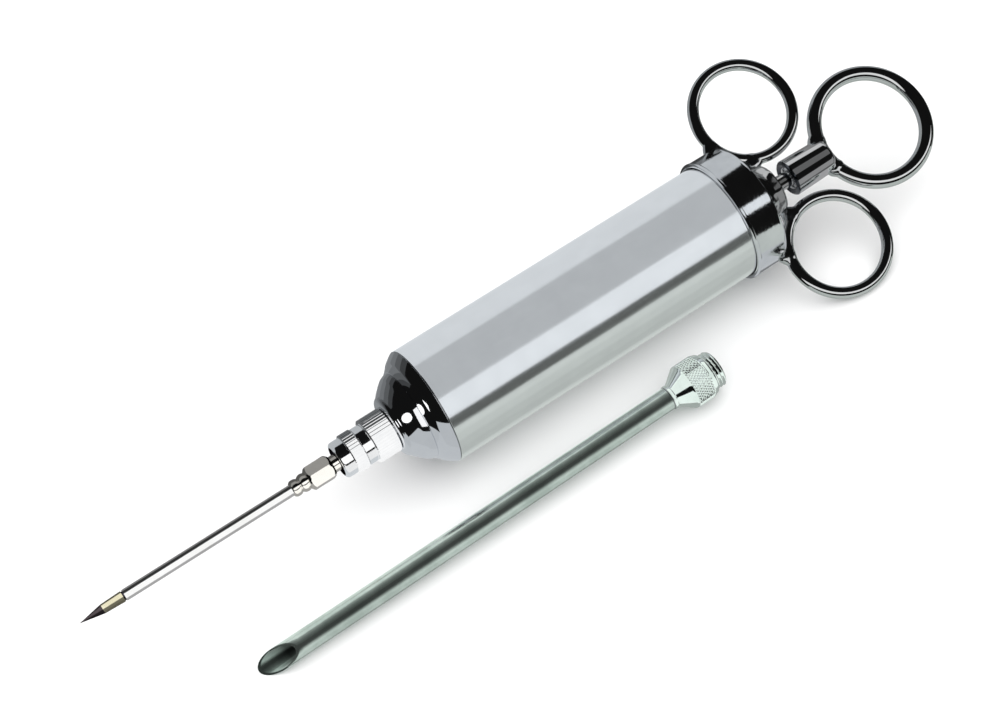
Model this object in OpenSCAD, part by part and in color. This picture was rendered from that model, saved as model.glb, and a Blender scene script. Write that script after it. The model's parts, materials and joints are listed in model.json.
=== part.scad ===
// Meat injector: a chromed syringe with a screw-off rear cap, two finger rings, a thumb ring,
// a luer-lock needle with a pointed closed tip, and a spare wide needle with a bevelled open tip.
// Millimetres. The injector lies on its side with its axis along X: the needle points to -X and
// the rings are at +X. Places along the axis are counted from the seam between nose and barrel.

/* [Barrel] */
// Outside radius of the barrel
barrel_r = 16; // [15:0.1:16]
// Wall thickness of the barrel
barrel_wall = 0.8; // [0.6:0.1:1]
// Length of the barrel from the seam to its rear end
barrel_len = 99.5; // [90:0.5:110]
// Height of the external thread for the rear cap above the barrel's wall
cap_thread_h = 0.25; // [0.2:0.01:0.25]

/* [Nose] */
// Length of the nose in front of the barrel
nose_len = 10.6; // [10:0.1:12]
// Radius of the nose's flat front face
nose_face_r = 6.6; // [6.2:0.1:7]
// Radius of the shoulder at the back of the nose's dome
nose_shoulder_r = 12.35; // [12:0.05:12.6]
// Thickness of the wall between the outlet thread and the barrel
nose_web = 1.2; // [1:0.1:1.6]

/* [Needle adapter] */
// Radius of the outlet thread, which fits both needles
outlet_thread_r = 5; // [4.5:0.1:5]
// Length of the outlet thread
outlet_thread_len = 2.8; // [2.4:0.1:3.2]
// Crest radius of the adapter's long rear knurl
rear_knurl_r = 6.05; // [5.8:0.05:6.2]
// Length of the adapter's long rear knurl
rear_knurl_len = 6.4; // [5:0.1:6.5]
// Number of splines on the rear knurl
rear_spline_count = 42; // [30:1:48]
// Radius of the plain neck between the two knurls
neck_r = 5.1; // [4.8:0.05:5.2]
// Length of the plain neck between the two knurls
neck_len = 2.6; // [2:0.1:3]
// Crest radius of the lock ring's short knurl
front_knurl_r = 5.4; // [5.3:0.05:5.6]
// Length of the lock ring's short knurl
front_knurl_len = 3.5; // [3:0.1:4]
// Number of splines on the lock ring's knurl
front_spline_count = 38; // [28:1:44]
// Radius of the lock ring's plain front rim
rim_r = 4.95; // [4.8:0.05:5.1]
// Length of the lock ring's plain front rim
rim_len = 3.1; // [3:0.1:4]
// Depth of the splines of both knurls
spline_depth = 0.3; // [0.2:0.05:0.4]

/* [Needle] */
// Outside radius of the needle tube
needle_r = 1.5; // [1.3:0.05:1.6]
// Wall thickness of the needle tube
needle_wall = 0.5; // [0.45:0.05:0.6]
// Place of the needle's sharp tip
needle_tip_x = -99.5; // [-110:0.5:-96]
// Length of the solid point in front of the tube
needle_point_len = 12.4; // [10:0.1:14]
// Length of the cone that ends in the tip
needle_cone_len = 6.4; // [5:0.1:8]
// Width of the hub's hexagon across its flats
hub_flats = 5.9; // [5:0.1:6.2]
// Radius of the outlet holes in the side of the needle tube
side_hole_r = 0.5; // [0.3:0.1:0.6]

/* [Rear cap] */
// Outside radius of the rear cap's skirt
cap_r = 17.25; // [17.1:0.05:17.6]
// Length of the rear cap's skirt and end wall
cap_len = 9.4; // [8.5:0.1:10]
// Thickness of the rear cap's end wall
cap_wall = 1.1; // [0.8:0.1:1.4]
// Radius of the gland dome where it stands on the cap
gland_base_r = 12; // [11:0.1:13]
// Radius of the gland dome's top
gland_top_r = 7.3; // [7:0.1:7.5]
// Height of the gland dome behind the cap
gland_len = 8.4; // [8:0.1:9]

/* [Finger rings] */
// Radius of the finger rings at the middle of their wire
finger_ring_r = 13.5; // [13:0.1:13.6]
// Radius of the finger rings' wire
finger_wire_r = 1.6; // [1.4:0.05:1.7]
// Distance of the finger rings' centres from the axis
finger_ring_offset = 21.6; // [21.4:0.1:22]
// Place of the finger rings' centres along the axis
finger_ring_x = 115.9; // [115.7:0.1:116]

/* [Plunger] */
// Radius of the plunger rod
rod_r = 2.15; // [2:0.05:2.4]
// Length of bare rod between the gland and the thumb ferrule when the plunger is in
rod_gap = 4.9; // [4:0.1:8]
// Front radius of the thumb ring's ferrule
ferrule_front_r = 5.1; // [4.6:0.1:5.2]
// Rear radius of the thumb ring's ferrule
ferrule_rear_r = 4.8; // [4.4:0.1:5]
// Length of the thumb ring's ferrule
ferrule_len = 13.6; // [11:0.1:14]
// Radius of the thumb ring at the middle of its wire
thumb_ring_r = 15.4; // [14:0.1:17]
// Radius of the thumb ring's wire
thumb_wire_r = 2; // [1.7:0.1:2.2]
// Width of one rubber cup of the piston
cup_len = 3.5; // [3:0.1:4]

/* [Wide needle] */
// Outside radius of the wide needle's tube
wide_r = 3.05; // [3:0.05:3.2]
// Wall thickness of the wide needle's tube
wide_wall = 0.5; // [0.4:0.05:0.6]
// Length of the wide needle's tube in front of its nut
wide_tube_len = 122.6; // [110:0.1:130]
// Length of the slanted opening at the wide needle's tip
wide_bevel_len = 10.7; // [9:0.1:13]
// Turn of the slanted opening about the tube's axis, from straight up towards the user
wide_bevel_turn = 35; // [0:1:60]
// Crest radius of the wide needle's knurled nut
wide_nut_r = 6.1; // [5.8:0.05:6.3]
// Length of the nut's cone
wide_cone_len = 5.2; // [4.5:0.1:6]
// Length of the nut's knurled band
wide_knurl_len = 5.2; // [4.5:0.1:6]
// Distance between the axes of the injector and the wide needle, seen from above
wide_gap = 30; // [26:0.5:40]
// Place of the wide needle's tip along the injector's axis
wide_tip_x = -70; // [-80:0.1:-60]

/* [Hidden] */
$fn = 96;
// Facets of the spheres that round the braze fillets
braze_fn = 28;
// Room between a turning part and its seat, on the radius
run = 0.05;
// Room between the faces of two parts that turn against each other
face_gap = 0.05;
// Overshoot of a cut past the face that it opens
over = 1;

bore_r = barrel_r - barrel_wall;
seam = 0.2;
spigot_len = 2;

// Nose: outlet thread, washer and web, counted back from its front face
nose_x = -nose_len;
washer_room = 1.1;
outlet_bore_len = outlet_thread_len + washer_room;
web_x = nose_x + outlet_bore_len;
outlet_hole_r = 2;
// Corners of the nose's outside, from its front lip to the flange on the barrel
lip_r = 8.45;
lip_x = nose_x + 1.1;
dome_r = 11.4;
dome_x = -6.2;
shoulder_x = -4.1;
step_r = 12.7;
step_x = -3.75;
flare_r = 14;
flare_x = -2.8;
// Corners of the nose's hollow, from its front to the spigot
hollow_front_r = 8;
hollow_front_x = -4.6;
hollow_mid_r = 10.4;
hollow_mid_x = -3;
hollow_r = 14.2;
// Washer in the outlet, and the room at each of its faces
washer_len = 0.93;
washer_gap = 0.02;
washer_x = web_x - washer_gap - washer_len;

// Adapter and lock ring, counted forward from the nose's front face
knurl_end_x = nose_x - 0.1;
neck_end_x = knurl_end_x - rear_knurl_len;
ring_end_x = neck_end_x - neck_len;
rim_end_x = ring_end_x - front_knurl_len;
ring_front_x = rim_end_x - rim_len;
luer_r = 1.95;
luer_len = 4.3;
passage_r = 1;
stub_r = 2.8;
flange_r = 3.6;
ring_lip = 0.8;
flange_len = 0.75;
flange_x = ring_end_x - ring_lip - face_gap;
luer_x = flange_x - flange_len;
lug_r = 3.75;
lock_bore_r = lug_r + 0.1;
rim_round_r = 0.9;
rim_round_len = 1.1;

// Needle hub, counted forward from its base inside the lock ring
base_r = 3;
base_x = luer_x - 0.3;
base_front_x = ring_front_x + 0.5;
hub_neck_r = 2.2;
hex_end_x = ring_front_x - 1.6;
hex_len = 7.3;
hex_front_x = hex_end_x - hex_len;
bead_r = 2.25;
// The tube's end is turned down where it is soldered into the hub
shank_r = needle_r - 0.25;
bead_len = 4.4;
bead_split = 2.3;
bead_waist_r = bead_r - 0.3;
shank_end_x = hex_end_x - 1;
lug_len = 1;
lug_width = 3;
socket_len = luer_len + 0.4;
hub_front_x = hex_front_x - bead_len;
hex_chamfer = 1;
point_base_x = needle_tip_x + needle_point_len;
point_base_r = needle_r - 0.05;
cone_base_r = needle_r - 0.25;
point_edge = 0.2;
point_spigot_len = 2;
// Outlet holes: places behind the point, and turns to each side of straight down
side_hole_places = [4, 8];
side_hole_turns = [-35, 35];

// Rear cap, gasket and gland
gasket_len = 1;
gasket_hole_r = 13.2;
gasket_gap = 0.03;
cap_seat_x = barrel_len + gasket_len;
cap_end_x = cap_seat_x + cap_wall;
cap_front_x = cap_end_x - cap_len;
cap_round = 1;
thread_front_x = cap_front_x + 1.6;
gland_end_x = cap_end_x + gland_len;
gland_bush_r = 5.4;
gland_bush_len = 6;
seal_wire_r = 1;
seal_room_r = 4.4;
gland_foot_len = 0.4;
gland_top_len = 1.1;
gland_shoulder_len = 2.6;
rod_hole_r = rod_r + 0.25;
// Angle on a finger ring, at its centre, of the points where it meets the cap and the gland
cap_joint_turn = atan2(cap_r - finger_ring_offset, cap_end_x - finger_ring_x);
gland_joint_turn = atan2(gland_top_r - finger_ring_offset, gland_end_x - 1 - finger_ring_x);
// Half of the angle that a braze fillet follows along the ring's wire
braze_spread = 9;

// Plunger
nut_len = 2.6;
nut_flats = 6.4;
disc_r = 14.4;
disc_len = 1.5;
core_r = 9;
core_rib_len = 1.4;
piston_x = spigot_len + 0.2;
front_cup_x = piston_x + disc_len + face_gap;
rib_x = front_cup_x + cup_len + face_gap;
rear_cup_x = rib_x + core_rib_len + face_gap;
rear_disc_x = rear_cup_x + cup_len + face_gap;
collar_x = rear_disc_x + disc_len;
collar_r = 3.2;
collar_len = 1.5;
// A cup's sealing lip: how far its root stands in, and where the lip begins and ends
cup_root_gap = 0.6;
cup_edge_gap = 0.5;
cup_lip_start = 0.8;
cup_lip_end = 1.6;
cup_root_start = 2.2;
ferrule_x = gland_end_x + rod_gap;
ferrule_end_x = ferrule_x + ferrule_len;
dish_r = 4;
dish_depth = 1.6;
dish_lip = 0.3;
rod_socket_len = 5;
ferrule_edge_len = 0.6;
ferrule_round = 1.2;
thumb_x = ferrule_end_x - 0.7 + thumb_ring_r;
thumb_braze_turn = 17;

// Wide needle, counted from its tip
wide_cone_x = wide_tube_len;
wide_knurl_x = wide_cone_x + wide_cone_len;
wide_shoulder_x = wide_knurl_x + wide_knurl_len;
wide_shoulder_len = 1.6;
wide_thread_x = wide_shoulder_x + wide_shoulder_len;
wide_end_x = wide_thread_x + outlet_thread_len;
wide_bore_r = wide_r - wide_wall;
wide_neck_r = wide_r + 0.25;
wide_neck_len = 0.7;
wide_groove_r = wide_r + 0.05;
wide_groove_len = 0.3;
wide_slope = atan2(wide_nut_r - wide_r, wide_knurl_x);

// Place on the table: the cap's skirt and the near finger ring both touch it
lean = asin((cap_r - finger_wire_r) / (finger_ring_offset + finger_ring_r));
rear_x = thumb_x + thumb_ring_r + thumb_wire_r;
mid_x = (needle_tip_x + rear_x) / 2;
far_y = (finger_ring_offset + finger_ring_r) * cos(lean) + finger_wire_r;
near_y = wide_gap + wide_nut_r;
axis_y = (near_y - far_y) / 2;

// Points of a shallow curve from p to q that bulges to the left of the line between them
function curve(p, q, bulge, steps = 8) =
    let (d = q - p, crown = (p + q) / 2 + 2 * bulge * [-d[1], d[0]] / norm(d))
    [for (i = [0 : steps]) let (t = i / steps) (1 - t) ^ 2 * p + 2 * t * (1 - t) * crown + t ^ 2 * q];

module lay_injector() {
    translate([-mid_x, axis_y, cap_r]) rotate([lean, 0, 0]) children();
}

module lay_wide_needle() {
    translate([wide_tip_x - mid_x, axis_y - wide_gap, wide_r * cos(wide_slope)])
        rotate([0, -wide_slope, 0]) children();
}

// A turned solid: the outline's points are [radius, place along the axis]
module turned(outline) {
    rotate([0, 90, 0]) rotate_extrude() polygon(outline);
}

module rod_x(r, from, to) {
    translate([from, 0, 0]) rotate([0, 90, 0]) cylinder(r = r, h = to - from);
}

module tube_x(r, hole_r, from, to) {
    difference() {
        rod_x(r, from, to);
        rod_x(hole_r, from - over, to + over);
    }
}

// A band of straight splines: crests and roots are equally wide
module splined_x(r, count, from, to) {
    step = 360 / count;
    outline = [for (i = [0 : count - 1], k = [0 : 3])
        let (a = (i + [0, 0.4, 0.5, 0.9][k]) * step, d = k < 2 ? 0 : spline_depth)
        (r - d) * [cos(a), sin(a)]];
    translate([from, 0, 0]) rotate([0, 90, 0]) linear_extrude(to - from) polygon(outline);
}

module hexagon_x(flats, from, to) {
    translate([from, 0, 0]) rotate([0, 90, 0]) cylinder(r = flats / sqrt(3), h = to - from, $fn = 6);
}

module torus_z(r, wire_r) {
    rotate_extrude() translate([r, 0]) circle(wire_r);
}

module barrel_tube() {
    color("silver") lay_injector() difference() {
        union() {
            rod_x(barrel_r, seam, barrel_len);
            rod_x(barrel_r + cap_thread_h, thread_front_x, barrel_len);
        }
        rod_x(bore_r, -over, barrel_len + over);
    }
}

module nose_cap() {
    color("gainsboro") lay_injector() difference() {
        turned(concat(
            [[0, nose_x], [nose_face_r, nose_x]],
            curve([nose_face_r, nose_x], [lip_r, lip_x], -0.35),
            curve([lip_r, lip_x], [dome_r, dome_x], -0.12),
            curve([dome_r, dome_x], [nose_shoulder_r, shoulder_x], -0.2),
            [[nose_shoulder_r - 0.2, shoulder_x + 0.2], [step_r, step_x]],
            curve([step_r, step_x], [flare_r, flare_x], 0.05),
            curve([flare_r, flare_x], [barrel_r, 0], -0.2),
            [[bore_r, 0], [bore_r, spigot_len], [0, spigot_len]]));
        turned([[0, web_x + nose_web], [outlet_hole_r, web_x + nose_web],
            [hollow_front_r, hollow_front_x], [hollow_mid_r, hollow_mid_x], [hollow_r, 0],
            [hollow_r, spigot_len + over], [0, spigot_len + over]]);
        rod_x(outlet_thread_r + run, nose_x - over, web_x);
        rod_x(outlet_hole_r, nose_x, 0);
    }
}

module nose_solder_ring() {
    color("dimgray") lay_injector() tube_x(barrel_r - 0.15, bore_r, 0, seam);
}

module outlet_washer() {
    color("white") lay_injector()
        tube_x(outlet_thread_r - 0.1, outlet_hole_r, washer_x, washer_x + washer_len);
}

module adapter_body() {
    color("gainsboro") lay_injector() difference() {
        union() {
            rod_x(outlet_thread_r, knurl_end_x, nose_x + outlet_thread_len);
            splined_x(rear_knurl_r, rear_spline_count, neck_end_x, knurl_end_x);
            rod_x(neck_r, ring_end_x + face_gap, neck_end_x);
            rod_x(stub_r, flange_x, ring_end_x + face_gap);
            rod_x(flange_r, luer_x, flange_x);
            rod_x(luer_r, luer_x - luer_len, luer_x);
        }
        rod_x(passage_r, luer_x - luer_len - over, nose_x + outlet_thread_len + over);
    }
}

module lock_ring() {
    color("gainsboro") lay_injector() difference() {
        union() {
            splined_x(front_knurl_r, front_spline_count, rim_end_x, ring_end_x);
            turned(concat([[0, ring_front_x], [rim_r - rim_round_r, ring_front_x]],
                curve([rim_r - rim_round_r, ring_front_x],
                    [rim_r, ring_front_x + rim_round_len], -0.28),
                [[rim_r, rim_end_x], [0, rim_end_x]]));
        }
        rod_x(lock_bore_r, ring_front_x - over, ring_end_x - ring_lip);
        rod_x(stub_r + run, ring_front_x, ring_end_x + over);
    }
}

module needle_hub() {
    color("tan") lay_injector() difference() {
        union() {
            turned([[0, base_front_x], [base_r, base_front_x], [base_r, base_x], [0, base_x]]);
            intersection() {
                rod_x(lug_r, base_x - lug_len, base_x);
                translate([base_x - lug_len / 2, 0, 0])
                    cube([2 * lug_len, lug_width, 3 * lug_r], center = true);
            }
            rod_x(hub_neck_r, hex_end_x - 0.5, base_front_x + 0.5);
            intersection() {
                hexagon_x(hub_flats, hex_front_x, hex_end_x);
                turned([[0, hex_front_x], [hub_neck_r, hex_front_x],
                    [hub_flats / sqrt(3), hex_front_x + hex_chamfer],
                    [hub_flats / sqrt(3), hex_end_x - hex_chamfer],
                    [hub_neck_r + 0.3, hex_end_x], [0, hex_end_x]]);
            }
            turned(concat([[0, hub_front_x]],
                curve([needle_r + 0.1, hub_front_x], [bead_waist_r, hub_front_x + bead_split], -0.75),
                curve([bead_waist_r, hub_front_x + bead_split],
                    [hub_neck_r, hex_front_x + 0.1], -0.4),
                [[0, hex_front_x + 0.1]]));
        }
        rod_x(luer_r + run, base_x - socket_len, base_x + over);
        rod_x(shank_r, hub_front_x - over, shank_end_x);
        rod_x(passage_r, hub_front_x, base_x);
    }
}

module needle_tube() {
    color("lightgray") lay_injector() difference() {
        union() {
            rod_x(needle_r, point_base_x, hub_front_x);
            rod_x(shank_r, hub_front_x, shank_end_x);
        }
        rod_x(needle_r - needle_wall, point_base_x - over, hex_end_x);
        for (place = side_hole_places, turn = side_hole_turns)
            translate([point_base_x + place, 0, 0]) rotate([180 + turn, 0, 0])
                cylinder(r = side_hole_r, h = 2 * needle_r);
    }
}

module needle_point() {
    color("darkkhaki") lay_injector() union() {
        turned([[0, needle_tip_x], [cone_base_r, needle_tip_x + needle_cone_len],
            [point_base_r, point_base_x - point_edge], [point_base_r - point_edge, point_base_x],
            [0, point_base_x]]);
        rod_x(needle_r - needle_wall, point_base_x, point_base_x + point_spigot_len);
    }
}

module cap_gasket() {
    color("whitesmoke") lay_injector()
        tube_x(barrel_r, gasket_hole_r, barrel_len + gasket_gap, cap_seat_x - gasket_gap);
}

module rear_cap() {
    color("gainsboro") lay_injector() difference() {
        turned(concat(
            [[0, cap_front_x], [cap_r - 0.5, cap_front_x]],
            curve([cap_r - 0.5, cap_front_x], [cap_r, cap_front_x + 0.4], -0.12),
            [[cap_r, cap_front_x + 0.7], [cap_r - 0.15, cap_front_x + 0.9]],
            [[cap_r - 0.2, cap_end_x - cap_round]],
            curve([cap_r - 0.2, cap_end_x - cap_round], [cap_r - cap_round, cap_end_x], -0.3),
            [[0, cap_end_x]]));
        rod_x(barrel_r + cap_thread_h + run, cap_front_x - over, cap_seat_x);
        rod_x(gland_bush_r, cap_seat_x - over, cap_end_x + over);
    }
}

module gland_dome() {
    color("silver") lay_injector() difference() {
        turned(concat([[0, cap_end_x], [gland_base_r, cap_end_x]],
            curve([gland_base_r, cap_end_x + gland_foot_len],
                [gland_top_r, gland_end_x - gland_shoulder_len], 0.7),
            curve([gland_top_r, gland_end_x - gland_top_len],
                [gland_top_r - gland_top_len, gland_end_x], -0.3),
            [[0, gland_end_x]]));
        rod_x(gland_bush_r, cap_end_x - over, cap_seat_x + gland_bush_len);
        rod_x(seal_room_r, cap_end_x, gland_end_x - 1.2);
        rod_x(rod_hole_r, cap_end_x, gland_end_x + over);
    }
}

module gland_bush() {
    color("goldenrod") lay_injector()
        tube_x(gland_bush_r, rod_r + run, cap_seat_x, cap_seat_x + gland_bush_len);
}

module rod_seal() {
    color("#222222") lay_injector()
        translate([cap_seat_x + gland_bush_len + seal_wire_r, 0, 0]) rotate([0, 90, 0])
            torus_z(rod_r + run + seal_wire_r, seal_wire_r);
}

module finger_ring(side) {
    color("gainsboro") lay_injector()
        translate([finger_ring_x, side * finger_ring_offset, 0]) torus_z(finger_ring_r, finger_wire_r);
}

// A fillet of braze along the wire of a finger ring, drawn out to the point where it is joined
module braze_fillet(side, turn, foot_r) {
    reach = finger_ring_r + finger_wire_r;
    translate([finger_ring_x, side * finger_ring_offset, 0]) hull() {
        for (spread = [-braze_spread, braze_spread])
            rotate([0, 0, side * (turn + spread)]) translate([finger_ring_r, 0, 0])
                sphere(r = finger_wire_r - 0.15, $fn = braze_fn);
        rotate([0, 0, side * turn]) translate([reach - 0.2, 0, 0]) sphere(r = foot_r, $fn = braze_fn);
    }
}

module finger_braze(side) {
    color("lightgray") lay_injector() {
        braze_fillet(side, cap_joint_turn, 1.3);
        braze_fillet(side, gland_joint_turn, 1.1);
    }
}

module finger_ring_near() { finger_ring(-1); }
module finger_ring_far() { finger_ring(1); }
module finger_braze_near() { finger_braze(-1); }
module finger_braze_far() { finger_braze(1); }

module piston_cup(x) {
    color("#202020") lay_injector()
        turned([[core_r + run, x], [bore_r - cup_edge_gap, x], [bore_r - run, x + cup_lip_start],
            [bore_r - run, x + cup_lip_end], [bore_r - cup_root_gap, x + cup_root_start],
            [bore_r - cup_root_gap, x + cup_len],
            [core_r + run, x + cup_len]]);
}

module piston_front_cup() { piston_cup(front_cup_x); }
module piston_rear_cup() { piston_cup(rear_cup_x); }

module plunger_rod() {
    color("silver") lay_injector() union() {
        rod_x(rod_r, piston_x - nut_len, ferrule_x + dish_depth + rod_socket_len);
        rod_x(collar_r, collar_x, collar_x + collar_len);
    }
}

module piston_nut() {
    color("silver") lay_injector() difference() {
        hexagon_x(nut_flats, piston_x - nut_len, piston_x);
        rod_x(rod_r, piston_x - nut_len - over, piston_x + over);
    }
}

module piston_front_disc() {
    color("silver") lay_injector() tube_x(disc_r, rod_r, piston_x, piston_x + disc_len);
}

module piston_core() {
    color("silver") lay_injector() difference() {
        union() {
            rod_x(core_r, piston_x + disc_len, rear_disc_x);
            rod_x(disc_r - 0.4, rib_x, rib_x + core_rib_len);
        }
        rod_x(rod_r, piston_x, rear_disc_x + over);
    }
}

module piston_rear_disc() {
    color("silver") lay_injector() tube_x(disc_r, rod_r, rear_disc_x, rear_disc_x + disc_len);
}

module thumb_ferrule() {
    color("gainsboro") lay_injector() difference() {
        turned(concat([[0, ferrule_x], [dish_r + dish_lip, ferrule_x],
                [ferrule_front_r, ferrule_x + ferrule_edge_len]],
            curve([ferrule_rear_r, ferrule_end_x - ferrule_round],
                [ferrule_rear_r - ferrule_round, ferrule_end_x], -0.3),
            [[0, ferrule_end_x]]));
        turned([[0, ferrule_x - over], [dish_r, ferrule_x - over], [dish_r, ferrule_x],
            [rod_r + 0.6, ferrule_x + dish_depth], [0, ferrule_x + dish_depth]]);
        rod_x(rod_r, ferrule_x, ferrule_x + dish_depth + rod_socket_len);
    }
}

module thumb_ring() {
    color("gainsboro") lay_injector() translate([thumb_x, 0, 0]) torus_z(thumb_ring_r, thumb_wire_r);
}

module thumb_braze() {
    color("lightgray") lay_injector()
        for (side = [-1, 1]) hull() {
            translate([thumb_x, 0, 0]) rotate([0, 0, 180 + side * thumb_braze_turn])
                translate([thumb_ring_r + 0.2, 0, 0]) sphere(r = thumb_wire_r - 0.5, $fn = braze_fn);
            translate([ferrule_end_x - 1.9, side * (ferrule_rear_r - 1.3), 0])
                sphere(r = 1.2, $fn = braze_fn);
        }
}

module wide_needle_tube() {
    color("darkgray") lay_wide_needle() difference() {
        tube_x(wide_r, wide_bore_r, 0, wide_thread_x);
        // The slanted cut that opens the tip
        rotate([wide_bevel_turn, 0, 0])
            rotate([90, 0, 0]) linear_extrude(8 * wide_r, center = true)
                polygon([[-over, -wide_r - over * 2 * wide_r / wide_bevel_len],
                    [wide_bevel_len + over, wide_r + over * 2 * wide_r / wide_bevel_len],
                    [-over, 3 * wide_r]]);
    }
}

module wide_needle_nut() {
    color("gainsboro") lay_wide_needle() difference() {
        turned([[0, wide_cone_x], [wide_neck_r, wide_cone_x],
            [wide_neck_r, wide_cone_x + wide_neck_len],
            [wide_groove_r, wide_cone_x + wide_neck_len + wide_groove_len],
            [wide_nut_r - 0.1, wide_knurl_x - 0.3],
            [wide_nut_r, wide_knurl_x], [wide_nut_r, wide_shoulder_x],
            [wide_nut_r - 0.15, wide_shoulder_x + 0.2], [wide_nut_r - 0.7, wide_thread_x],
            [outlet_thread_r, wide_thread_x], [outlet_thread_r, wide_end_x], [0, wide_end_x]]);
        rod_x(wide_r, wide_cone_x - over, wide_thread_x);
        rod_x(wide_bore_r, wide_cone_x, wide_end_x + over);
    }
}

module wide_needle_solder() {
    color("dimgray") lay_wide_needle()
        tube_x(wide_r + 0.15, wide_r, wide_cone_x - 0.3, wide_cone_x);
}

barrel_tube();
nose_cap();
nose_solder_ring();
outlet_washer();
adapter_body();
lock_ring();
needle_hub();
needle_tube();
needle_point();
cap_gasket();
rear_cap();
gland_dome();
gland_bush();
rod_seal();
finger_ring_near();
finger_ring_far();
finger_braze_near();
finger_braze_far();
piston_front_cup();
piston_rear_cup();
plunger_rod();
piston_nut();
piston_front_disc();
piston_core();
piston_rear_disc();
thumb_ferrule();
thumb_ring();
thumb_braze();
wide_needle_tube();
wide_needle_nut();
wide_needle_solder();
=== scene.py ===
"""Looks of the meat injector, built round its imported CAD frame.

Lengths are millimetres in each piece's own frame and metres in Blender. The injector's frame
has X along the barrel, counted from the seam between nose and barrel, Y across the finger
rings and Z square to their plane. The wide needle's frame is counted back from its open end.
"""
import json
import math

import bmesh
import bpy
from mathutils import Matrix, Vector, noise

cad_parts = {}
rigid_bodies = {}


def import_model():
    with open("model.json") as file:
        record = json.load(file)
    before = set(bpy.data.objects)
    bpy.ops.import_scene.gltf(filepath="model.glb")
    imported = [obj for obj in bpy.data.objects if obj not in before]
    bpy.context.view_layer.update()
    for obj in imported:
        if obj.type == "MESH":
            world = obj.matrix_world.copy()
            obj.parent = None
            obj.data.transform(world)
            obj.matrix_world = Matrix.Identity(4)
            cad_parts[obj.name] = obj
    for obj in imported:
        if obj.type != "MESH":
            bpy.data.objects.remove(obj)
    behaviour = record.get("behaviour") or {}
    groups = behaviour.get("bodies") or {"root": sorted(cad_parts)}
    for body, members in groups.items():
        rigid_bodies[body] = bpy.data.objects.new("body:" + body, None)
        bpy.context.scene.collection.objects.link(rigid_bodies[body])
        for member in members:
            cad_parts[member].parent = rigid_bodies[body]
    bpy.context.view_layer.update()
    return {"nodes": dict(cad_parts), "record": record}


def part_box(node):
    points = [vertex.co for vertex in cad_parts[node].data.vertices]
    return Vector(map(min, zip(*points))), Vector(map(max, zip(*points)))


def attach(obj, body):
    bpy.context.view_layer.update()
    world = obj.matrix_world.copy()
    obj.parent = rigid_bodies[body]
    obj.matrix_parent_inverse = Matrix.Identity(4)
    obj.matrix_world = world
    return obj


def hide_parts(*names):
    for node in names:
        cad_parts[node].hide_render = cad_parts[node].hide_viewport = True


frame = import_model()

MM = 0.001
TAU = 2 * math.pi
record = frame["record"]

# ---------------------------------------------------------------- places from the frame


def centre(node):
    lo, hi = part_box(node)
    return (lo + hi) / 2


near_ring = centre("finger_ring_near")
far_ring = centre("finger_ring_far")
lean = math.atan2(far_ring.z - near_ring.z, far_ring.y - near_ring.y)
axis = centre("barrel_tube")
seam_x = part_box("nose_solder_ring")[0].x
INJECTOR = Matrix.Translation((seam_x, axis.y, axis.z))
LEAN = Matrix.Rotation(lean, 4, "X")

bore_mount = next(m for m in record["mounts"] if m["name"] == "wide_needle_bore")
wide_way = Vector(bore_mount["axis"]).normalized()
wide_end = Vector(bore_mount["pos_m"]) + wide_way * bore_mount["dims"]["length_mm"] * MM / 2
WIDE = Matrix.Translation(wide_end) @ Matrix.Rotation(-math.asin(wide_way.z), 4, "Y")

bodies = record["behaviour"]["bodies"]
body_of = {node: body for body, nodes in bodies.items() for node in nodes}


def span(node):
    """First and last place along the injector's axis and the largest radius of a node."""
    lo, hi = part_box(node)
    corners = frame["nodes"][node].data.vertices
    reach = max(math.hypot(v.co.y - axis.y, v.co.z - axis.z) for v in corners)
    return (lo.x - seam_x) / MM, (hi.x - seam_x) / MM, reach / MM


# ---------------------------------------------------------------- outlines


def curve(p, q, bulge, steps=12):
    """Points of a shallow curve from p to q that bulges to the left of the line between them."""
    p, q = Vector(p), Vector(q)
    way = q - p
    crown = (p + q) / 2 + 2 * bulge * Vector((-way.y, way.x)) / way.length
    return [tuple((1 - t) ** 2 * p + 2 * t * (1 - t) * crown + t * t * q)
            for t in (k / steps for k in range(steps + 1))]


def unrounded(p, q, bulge):
    """A curve without its first point, whose points rounded() leaves as they are."""
    return [(u, r, 0) for u, r in curve(p, q, bulge)[1:]]


def rounded(points, radius=0.12, steps=3):
    """Rounds the corners of a closed outline. A third number in a point is its own radius."""
    result = []
    for i, point in enumerate(points):
        here = Vector(point[:2])
        before = Vector(points[i - 1][:2]) - here
        after = Vector(points[(i + 1) % len(points)][:2]) - here
        size = point[2] if len(point) > 2 else radius
        size = min(size, 0.45 * before.length, 0.45 * after.length)
        if here.y < 1e-6 or size < 0.004:
            result.append(tuple(here))
            continue
        start = here + before.normalized() * size
        end = here + after.normalized() * size
        for k in range(steps + 1):
            t = k / steps
            result.append(tuple((1 - t) ** 2 * start + 2 * t * (1 - t) * here + t * t * end))
    return result


def stretch(first, last, radius, step):
    """A straight run of closely spaced points, (place, radius, no rounding)."""
    count = max(1, round(abs(last - first) / step))
    return [(first + (last - first) * k / count, radius, 0) for k in range(count + 1)]


# ---------------------------------------------------------------- reliefs on turned surfaces


def groove(phase, half_width):
    """Depth, 0 to 1, of a V groove in the middle of each period."""
    return max(0.0, 1 - abs(phase % 1 - 0.5) / half_width)


def thread(pitch, depth, first, last, floor_r, width=0.42):
    """A right-handed screw thread cut into the surface outside floor_r."""
    def relief(u, r, a):
        if r < floor_r or not first <= u <= last:
            return 0
        return -depth * groove(u / pitch - a / TAU, width)
    return relief


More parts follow.
